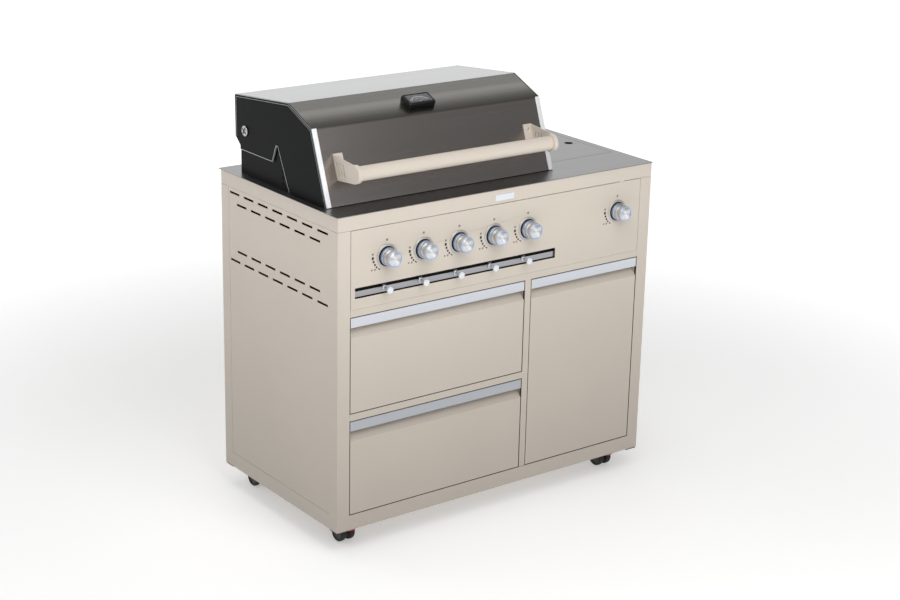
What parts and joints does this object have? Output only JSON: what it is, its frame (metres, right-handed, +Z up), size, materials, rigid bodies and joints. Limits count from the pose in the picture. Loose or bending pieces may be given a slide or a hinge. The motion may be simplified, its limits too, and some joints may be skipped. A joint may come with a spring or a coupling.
{
  "type": "gas barbecue grill",
  "caption": "Gas barbecue on a steel cart: a hinged hood over burners and grates, a side burner under a flush lid, drawers, a bottle cupboard and locking casters.",
  "frame": {"origin": "on the floor under the middle of the whole object at rest", "axes": "+X to the right as seen from the front, +Y from front to back, +Z up"},
  "size_m": [1.045, 0.614, 1.1505],
  "materials": {
    "powder_coat": "warm stone-beige fine textured powder coat",
    "stainless": "brushed stainless steel",
    "hood_steel": "dark brushed steel with a warm grey-brown tint",
    "black_enamel": "satin black heat-resistant enamel",
    "cast_iron": "matt enamelled cast iron",
    "anodised": "satin anodised aluminium",
    "chrome": "polished chrome",
    "brass": "plain brass",
    "wheel_rubber": "black rubber tread on black hubs",
    "black_plastic": "black glass-filled plastic",
    "red_plastic": "red plastic"
  },
  "bodies": {
    "cart": {"cart_frame": "powder_coat", "top_frame": "powder_coat", "centre_frame": "powder_coat", "side_panel_left": "powder_coat", "side_panel_right": "powder_coat", "back_panel": "powder_coat", "floor_panel": "powder_coat", "control_panel": "powder_coat", "hook_rail": "stainless", "worktop": "stainless", "burner_bank": "stainless", "side_burner_pan": "stainless", "firebox_pan": "black_enamel", "firebox_side_left": "black_enamel", "firebox_side_right": "black_enamel", "grate_left": "cast_iron", "grate_right": "cast_iron", "side_burner": "cast_iron", "pot_support": "cast_iron", "hinge_pin_left": "chrome", "hinge_pin_right": "chrome", "gas_manifold": "brass"},
    "hood": {"hood_shell": "hood_steel", "hood_end_left": "black_enamel", "hood_end_right": "black_enamel", "handle_tube": "powder_coat", "handle_bracket_left": "powder_coat", "handle_bracket_right": "powder_coat", "thermometer": "black_plastic"},
    "side_lid": {"side_lid": "stainless"},
    "grease_tray": {"grease_tray": "stainless"},
    "knob_1": {"knob_1": "chrome"},
    "knob_2": {"knob_2": "chrome"},
    "knob_3": {"knob_3": "chrome"},
    "knob_4": {"knob_4": "chrome"},
    "knob_5": {"knob_5": "chrome"},
    "side_knob": {"side_knob": "chrome"},
    "tool_hook_1": {"tool_hook_1": "anodised"},
    "tool_hook_2": {"tool_hook_2": "anodised"},
    "tool_hook_3": {"tool_hook_3": "anodised"},
    "tool_hook_4": {"tool_hook_4": "anodised"},
    "tool_hook_5": {"tool_hook_5": "anodised"},
    "drawer_upper": {"drawer_upper_box": "stainless", "drawer_upper_front": "powder_coat", "drawer_upper_bar": "anodised"},
    "drawer_lower": {"drawer_lower_box": "stainless", "drawer_lower_front": "powder_coat", "drawer_lower_bar": "anodised"},
    "cupboard_door": {"door": "powder_coat", "door_bar": "anodised"},
    "caster_front_left": {"caster_housing_front_left": "black_plastic"},
    "caster_front_right": {"caster_housing_front_right": "black_plastic"},
    "caster_back_left": {"caster_housing_back_left": "black_plastic"},
    "caster_back_right": {"caster_housing_back_right": "black_plastic"},
    "wheels_front_left": {"caster_wheels_front_left": "wheel_rubber"},
    "wheels_front_right": {"caster_wheels_front_right": "wheel_rubber"},
    "wheels_back_left": {"caster_wheels_back_left": "wheel_rubber"},
    "wheels_back_right": {"caster_wheels_back_right": "wheel_rubber"},
    "brake_front_left": {"brake_pedal_front_left": "red_plastic"},
    "brake_front_right": {"brake_pedal_front_right": "red_plastic"}
  },
  "joints": [
    {"name": "hood_hinge", "type": "hinge", "parent": "cart", "child": "hood", "pos_m": [-0.1345, 0.2, 1.036], "axis": [-1, 0, 0], "range_deg": [0, 90]},
    {"name": "side_lid_hinge", "type": "hinge", "parent": "cart", "child": "side_lid", "pos_m": [0.2451, 0.023, 0.9158], "axis": [0, -1, 0], "range_deg": [0, 93]},
    {"name": "grease_tray_slide", "type": "slide", "parent": "cart", "child": "grease_tray", "axis": [0, 1, 0], "range_m": [0, 0.35]},
    {"name": "knob_1_turn", "type": "hinge", "parent": "cart", "child": "knob_1", "pos_m": [-0.3715, -0.269, 0.794], "axis": [0, -1, 0], "range_deg": [0, 145]},
    {"name": "knob_2_turn", "type": "hinge", "parent": "cart", "child": "knob_2", "pos_m": [-0.2579, -0.269, 0.794], "axis": [0, -1, 0], "range_deg": [0, 145]},
    {"name": "knob_3_turn", "type": "hinge", "parent": "cart", "child": "knob_3", "pos_m": [-0.1443, -0.269, 0.794], "axis": [0, -1, 0], "range_deg": [0, 145]},
    {"name": "knob_4_turn", "type": "hinge", "parent": "cart", "child": "knob_4", "pos_m": [-0.0307, -0.269, 0.794], "axis": [0, -1, 0], "range_deg": [0, 145]},
    {"name": "knob_5_turn", "type": "hinge", "parent": "cart", "child": "knob_5", "pos_m": [0.0829, -0.269, 0.794], "axis": [0, -1, 0], "range_deg": [0, 145]},
    {"name": "side_knob_turn", "type": "hinge", "parent": "cart", "child": "side_knob", "pos_m": [0.3975, -0.269, 0.794], "axis": [0, -1, 0], "range_deg": [0, 145]},
    {"name": "tool_hook_1_slide", "type": "slide", "parent": "cart", "child": "tool_hook_1", "axis": [1, 0, 0], "range_m": [-0.045, 0.045]},
    {"name": "tool_hook_2_slide", "type": "slide", "parent": "cart", "child": "tool_hook_2", "axis": [1, 0, 0], "range_m": [-0.045, 0.045]},
    {"name": "tool_hook_3_slide", "type": "slide", "parent": "cart", "child": "tool_hook_3", "axis": [1, 0, 0], "range_m": [-0.045, 0.045]},
    {"name": "tool_hook_4_slide", "type": "slide", "parent": "cart", "child": "tool_hook_4", "axis": [1, 0, 0], "range_m": [-0.045, 0.045]},
    {"name": "tool_hook_5_slide", "type": "slide", "parent": "cart", "child": "tool_hook_5", "axis": [1, 0, 0], "range_m": [-0.045, 0.045]},
    {"name": "drawer_upper_slide", "type": "slide", "parent": "cart", "child": "drawer_upper", "axis": [0, -1, 0], "range_m": [0, 0.4]},
    {"name": "drawer_lower_slide", "type": "slide", "parent": "cart", "child": "drawer_lower", "axis": [0, -1, 0], "range_m": [0, 0.4]},
    {"name": "door_hinge", "type": "hinge", "parent": "cart", "child": "cupboard_door", "pos_m": [0.4792, -0.2685, 0.378], "axis": [0, 0, 1], "range_deg": [0, 110]},
    {"name": "swivel_front_left", "type": "hinge", "parent": "cart", "child": "caster_front_left", "pos_m": [-0.4495, -0.177, 0.064], "axis": [0, 0, 1], "continuous": true},
    {"name": "swivel_front_right", "type": "hinge", "parent": "cart", "child": "caster_front_right", "pos_m": [0.4495, -0.177, 0.064], "axis": [0, 0, 1], "continuous": true},
    {"name": "swivel_back_left", "type": "hinge", "parent": "cart", "child": "caster_back_left", "pos_m": [-0.4495, 0.2215, 0.064], "axis": [0, 0, 1], "continuous": true},
    {"name": "swivel_back_right", "type": "hinge", "parent": "cart", "child": "caster_back_right", "pos_m": [0.4495, 0.2215, 0.064], "axis": [0, 0, 1], "continuous": true},
    {"name": "roll_front_left", "type": "hinge", "parent": "caster_front_left", "child": "wheels_front_left", "pos_m": [-0.4495, -0.193, 0.025], "axis": [1, 0, 0], "continuous": true},
    {"name": "roll_front_right", "type": "hinge", "parent": "caster_front_right", "child": "wheels_front_right", "pos_m": [0.4495, -0.193, 0.025], "axis": [1, 0, 0], "continuous": true},
    {"name": "roll_back_left", "type": "hinge", "parent": "caster_back_left", "child": "wheels_back_left", "pos_m": [-0.4495, 0.2375, 0.025], "axis": [1, 0, 0], "continuous": true},
    {"name": "roll_back_right", "type": "hinge", "parent": "caster_back_right", "child": "wheels_back_right", "pos_m": [0.4495, 0.2375, 0.025], "axis": [1, 0, 0], "continuous": true},
    {"name": "brake_front_left_press", "type": "hinge", "parent": "caster_front_left", "child": "brake_front_left", "pos_m": [-0.4495, -0.2065, 0.044], "axis": [1, 0, 0], "range_deg": [0, 12]},
    {"name": "brake_front_right_press", "type": "hinge", "parent": "caster_front_right", "child": "brake_front_right", "pos_m": [0.4495, -0.2065, 0.044], "axis": [1, 0, 0], "range_deg": [0, 12]}
  ]
}
